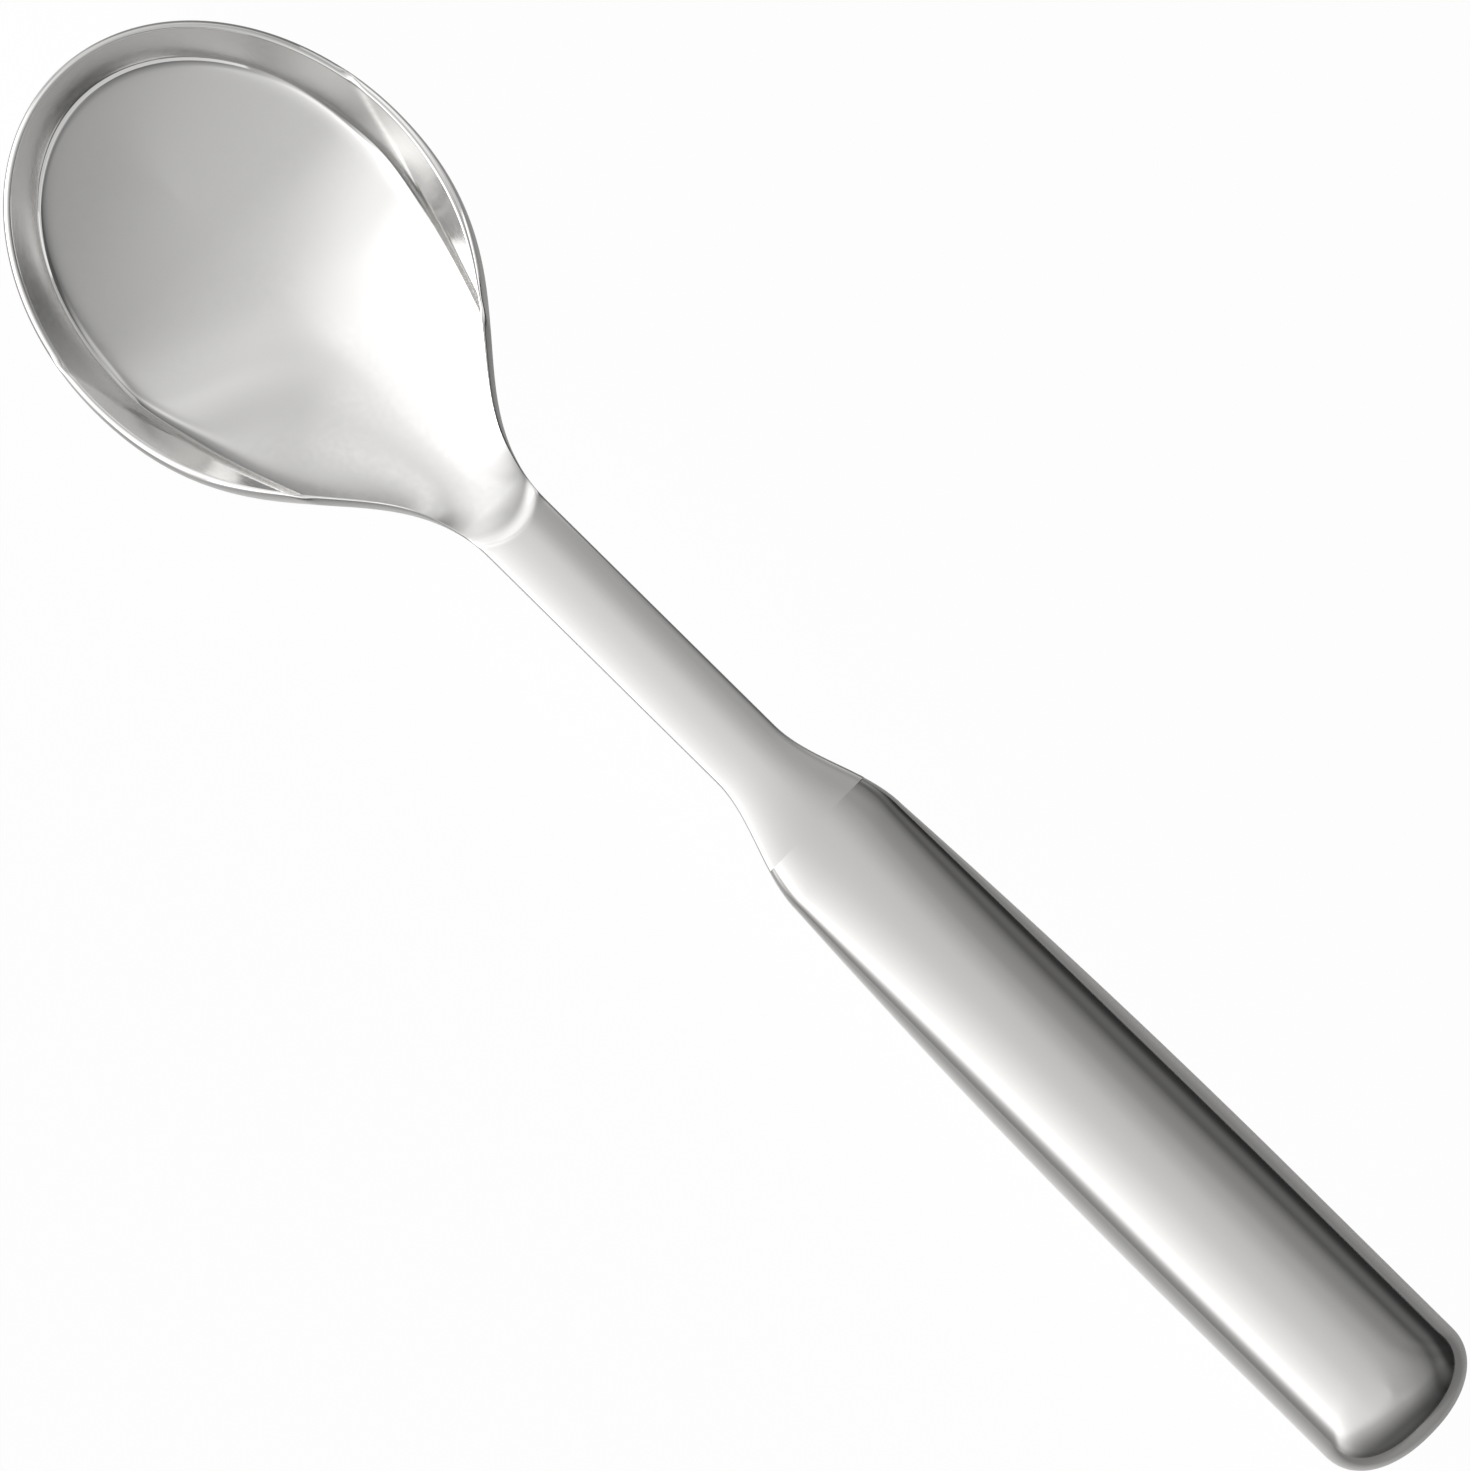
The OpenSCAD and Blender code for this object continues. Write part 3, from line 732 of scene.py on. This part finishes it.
# Painted light and shade in the paper's colour: bright beside the spoon, darker away from it and past the
# handle's end.
painted_paper_shading = tone_ramp(tree, place.outputs["Y"], -PAPER_SPAN, PAPER_SPAN, painted_shading_stops)
end_shade = ranged(tree, place.outputs["X"], *END_SHADE, *END_SHADE_X)
tree.links.new(times(tree, painted_paper_shading, end_shade), shader.inputs["Base Color"])
print("paper tones:", len(painted_shading_stops))

# %% [markdown]
# The Light Path node knows what kind of ray has met the paper. A camera ray, or one through glass, meets a
# glow of 1, which is white, with a little of the shaded paper left in for the spoon's shadow. A mirrored ray
# meets mostly the shaded paper. No lamp has to be turned up to make the background white.

# %% Paper glow
DIRECT_GLOW, MIRROR_GLOW = 0.98, 0.15


def either(a, b):
    node = tree.nodes.new("ShaderNodeMath")
    node.operation = "MAXIMUM"
    tree.links.new(a, node.inputs[0])
    tree.links.new(b, node.inputs[1])
    return node.outputs["Value"]


paper = tree.nodes.new("ShaderNodeEmission")
seen = tree.nodes.new("ShaderNodeLightPath")
seen_directly = either(seen.outputs["Is Camera Ray"], seen.outputs["Is Transmission Ray"])
direct_share = ranged(tree, seen_directly, 0.0, DIRECT_GLOW, 0.0, 1.0)
mirror_share = ranged(tree, seen.outputs["Is Glossy Ray"], 0.0, MIRROR_GLOW, 0.0, 1.0)
blend = tree.nodes.new("ShaderNodeMixShader")
tree.links.new(either(direct_share, mirror_share), blend.inputs["Fac"])
tree.links.new(shader.outputs["BSDF"], blend.inputs[1])
tree.links.new(paper.outputs["Emission"], blend.inputs[2])
tree.links.new(blend.outputs["Shader"], tree.nodes["Material Output"].inputs["Surface"])
table.data.materials.append(white)
print("table material has", len(tree.nodes), "nodes")

# %% [markdown]
# ## A room to reflect
#
# Lamps alone would leave steel black with a few bright spots. What a photographer builds round steel is a
# tent with slow changes of tone, so the world here is such a tent. Every direction has a brightness, the
# product of six simple tones. Each tone is a curve over one number: how much the direction leans towards an
# axis, from -1 for straight away to 1 for straight at it. Some tones go above 1, so each is divided by its
# top, and the tops go into the world's strength.

# %% Room helpers
world = bpy.data.worlds.new("room")
bpy.context.scene.world = world
world.use_nodes = True
room = world.node_tree
direction = room.nodes.new("ShaderNodeTexCoord").outputs["Generated"]
room_tones = []
room_tops = []


def room_tone(title, axis, stops):
    lean = room.nodes.new("ShaderNodeVectorMath")
    lean.operation = "DOT_PRODUCT"
    room.links.new(direction, lean.inputs[0])
    lean.inputs[1].default_value = axis
    top = max(tone for place, tone in stops)
    shares = [(place, tone / top) for place, tone in stops]
    room_tones.append(tone_ramp(room, lean.outputs["Value"], -1.0, 1.0, shares, "CARDINAL"))
    room_tops.append(top)
    print(f"{title}: {len(stops)} stops up to {top}")


print("room:", world.name)

# %% [markdown]
# The main light stands 42 degrees from the zenith, on the left of the picture. The level parts of the spoon
# mirror the sky near the zenith, so the curve has most of its stops there and towards the light.

# %% Main light
LIGHT_ZENITH = math.radians(42.0)
light_side = math.sin(LIGHT_ZENITH) * math.sqrt(0.5)
light_axis = (-light_side, -light_side, math.cos(LIGHT_ZENITH))
light_stops = [(-0.3, 0.33), (0.2, 0.38), (0.45, 0.4), (0.55, 0.42), (0.638, 0.47)]
light_stops += [(0.69, 0.555), (0.719, 0.615), (0.743, 0.637), (0.787, 0.67), (0.82, 0.71)]
light_stops += [(0.86, 0.765), (0.9, 0.89), (0.93, 0.94), (0.96, 0.98), (1, 1)]
room_tone("main light", light_axis, light_stops)

# %% [markdown]
# Across the spoon, the handle's pillow section mirrors the whole room from one side to the other. Towards -Y
# there is a bright window, and towards +Y a dark curtain with a fainter grey line in it.

# %% Window and curtain
across_axis = (0.34, 0.94, 0)
across_stops = [(-1, 0.75), (-0.94, 0.8), (-0.904, 0.78), (-0.865, 1), (-0.83, 1.56), (-0.797, 1.92)]
across_stops += [(-0.73, 1.87), (-0.6, 1.47), (-0.475, 1.26), (-0.36, 1.18), (-0.25, 1.14), (-0.12, 1.07)]
across_stops += [(0, 1.06), (0.1, 1.05), (0.2, 1.03), (0.3, 0.99), (0.45, 0.79), (0.59, 0.61)]
across_stops += [(0.665, 0.46), (0.73, 0.28), (0.8, 0.37), (0.86, 0.35), (0.91, 0.13), (0.95, 0.09)]
room_tone("window and curtain", across_axis, across_stops)

# %% [markdown]
# Near the horizon the tent darkens a little, and low down it has two bright panels, the far one towards the
# top of the picture and the near one towards its left. Only steep steel mirrors such low directions, so the
# panels show in the bowl's walls and hardly anywhere else.

# %% Horizon and panels
low_stops = [(-0.05, 0.7), (0.05, 0.7), (0.15, 0.8), (0.28, 1.0)]
room_tone("horizon", (0, 0, 1), low_stops)
far_stops = [(0.15, 1), (0.22, 0.93), (0.27, 0.86), (0.32, 0.9), (0.38, 1), (0.43, 0.97), (0.5, 0.9)]
far_stops += [(0.56, 0.98), (0.62, 0.96), (0.7, 1.12), (0.74, 1.45), (0.78, 1.85), (0.84, 1.6), (0.9, 1.1)]
room_tone("far panel", (-0.707, 0.707, 0), far_stops)
near_stops = [(0.7, 1.0), (0.74, 1.3), (0.78, 1.8), (0.86, 2.6), (0.95, 3.0)]
room_tone("near panel", (-0.707, -0.707, 0), near_stops)

# %% [markdown]
# Along the spoon, the side beyond the tip is bright and the side beyond the handle's end is dark. The ramp
# mirrors the first, and the rounded end of the handle the second, as a dark crescent.

# %% Tip to end
along_axis = (0.98, -0.2, 0)
along_stops = [(-0.81, 1.15), (-0.76, 1.2), (-0.7, 1.36), (-0.65, 1.5), (-0.6, 1.5), (-0.55, 1.43)]
along_stops += [(-0.47, 1.34), (-0.378, 1.22), (-0.27, 1.13), (-0.155, 1.05), (-0.06, 1), (0.08, 1.03)]
along_stops += [(0.21, 1.1), (0.35, 1.15), (0.44, 0.98), (0.55, 0.8), (0.65, 0.6), (0.74, 0.45)]
along_stops += [(0.85, 0.3), (0.92, 0.3), (0.97, 0.3), (1, 0.3)]
room_tone("tip to end", along_axis, along_stops)
brightness = room_tones[0]
for tone in room_tones[1:]:
    brightness = times(room, brightness, tone)
background = room.nodes["Background"]
room.links.new(brightness, background.inputs["Color"])
background.inputs["Strength"].default_value = math.prod(room_tops)
print(f"room strength {math.prod(room_tops):.2f}")

# %% [markdown]
# ## Fill light in the bowl
#
# The steep walls of the bowl mirror its floor, and by way of the floor the low directions opposite. A
# photographer lights such walls with a card and with small strip lamps close by. The card is a soft glow on
# an otherwise clear sheet, because a lamp's hard edge would show as a line. The strips are area lamps, which
# shine to one side only, so the shank behind them stays as it is.

# %% Fill card
CARD_PLACE, CARD_SIZE, CARD_LEAN = (-0.15, 0.26, 0.25), (0.26, 0.36), math.radians(-48.0)
CARD_GLOW, CARD_SOFT = 0.55, 0.35


def glow(name, strength):
    material = bpy.data.materials.new(name)
    material.use_nodes = True
    tree = material.node_tree
    tree.nodes.remove(tree.nodes["Principled BSDF"])
    coords = tree.nodes.new("ShaderNodeTexCoord")
    stretch = tree.nodes.new("ShaderNodeMapping")
    stretch.inputs["Scale"].default_value = (2.0, 2.0, 2.0)
    ball = tree.nodes.new("ShaderNodeTexGradient")
    ball.gradient_type = "QUADRATIC_SPHERE"
    clear = tree.nodes.new("ShaderNodeBsdfTransparent")
    lit = tree.nodes.new("ShaderNodeEmission")
    both = tree.nodes.new("ShaderNodeAddShader")
    tree.links.new(coords.outputs["Object"], stretch.inputs["Vector"])
    tree.links.new(stretch.outputs["Vector"], ball.inputs["Vector"])
    tree.links.new(ranged(tree, ball.outputs["Fac"], 0.0, strength, 0.0, CARD_SOFT), lit.inputs["Strength"])
    tree.links.new(clear.outputs["BSDF"], both.inputs[0])
    tree.links.new(lit.outputs["Emission"], both.inputs[1])
    tree.links.new(both.outputs["Shader"], tree.nodes["Material Output"].inputs["Surface"])
    return material


bpy.ops.mesh.primitive_plane_add(size=1.0, location=CARD_PLACE)
card = bpy.context.object
card.name = "side_card"
card.scale = (*CARD_SIZE, 1.0)
card.rotation_euler = (CARD_LEAN, 0, 0)
card.data.materials.append(glow("side_card_glow", CARD_GLOW))
card.visible_camera = False
card.visible_shadow = False
print("card:", card.name)

# %% [markdown]
# Three strips light the front wall, the left wall and the neck. They are weak, since they are only a few
# centimetres away, and the camera doesn't see them.


# %% Strip lamps
def strip_lamp(name, place, towards, size, energy):
    strip = bpy.data.lights.new(name, "AREA")
    strip.shape = "RECTANGLE"
    strip.size, strip.size_y = size
    strip.energy = energy
    lamp = bpy.data.objects.new(name, strip)
    lamp.location = place
    lamp.rotation_euler = Vector(towards).to_track_quat("-Z", "Y").to_euler()
    lamp.visible_camera = False
    bpy.context.collection.objects.link(lamp)
    print(f"{name}: {energy} W")


strip_lamp("front_strip", (-0.06, 0.015, 0.05), (-1, 0, 0), (0.26, 0.05), 0.029)
strip_lamp("side_strip", (-0.1, 0.075, 0.03), (0, -1, 0), (0.09, 0.035), 0.005)
strip_lamp("neck_strip", (-0.09, 0.013, 0.05), (0.58, -0.4, -0.7), (0.035, 0.035), 0.0011)

# %% [markdown]
# ## The camera
#
# A product shot of a spoon is taken from almost straight above, with a long lens so that nothing is drawn
# out. The spoon lies across the picture from corner to corner. Its line stays on the X axis, and the camera
# is turned instead, so that all views share one frame. The lens follows from the distance and from how wide
# a field should fill the picture.

# %% Camera
AIM = Vector((-0.0022, 0.0009, 0.014))
AZIMUTH, ELEVATION, ROLL = math.radians(45.0), math.radians(87.0), math.radians(-0.3)
DISTANCE, FIELD_W, SENSOR_MM = 1.5, 0.2212, 36.0
level = math.cos(ELEVATION)
back = Vector((math.sin(AZIMUTH) * level, -math.cos(AZIMUTH) * level, math.sin(ELEVATION)))
right = Vector((math.cos(AZIMUTH), math.sin(AZIMUTH), 0.0))
up = back.cross(right)
turn = Matrix((right, up, back)).transposed() @ Matrix.Rotation(ROLL, 3, "Z")
lens = bpy.data.cameras.new("camera")
lens.sensor_width = SENSOR_MM
lens.lens = SENSOR_MM * DISTANCE / FIELD_W
camera = bpy.data.objects.new("camera", lens)
camera.matrix_world = Matrix.Translation(AIM + back * DISTANCE) @ turn.to_4x4()
bpy.context.collection.objects.link(camera)
bpy.context.scene.camera = camera
bpy.context.scene.view_settings.view_transform = "Standard"
print(f"lens {lens.lens:.0f} mm")
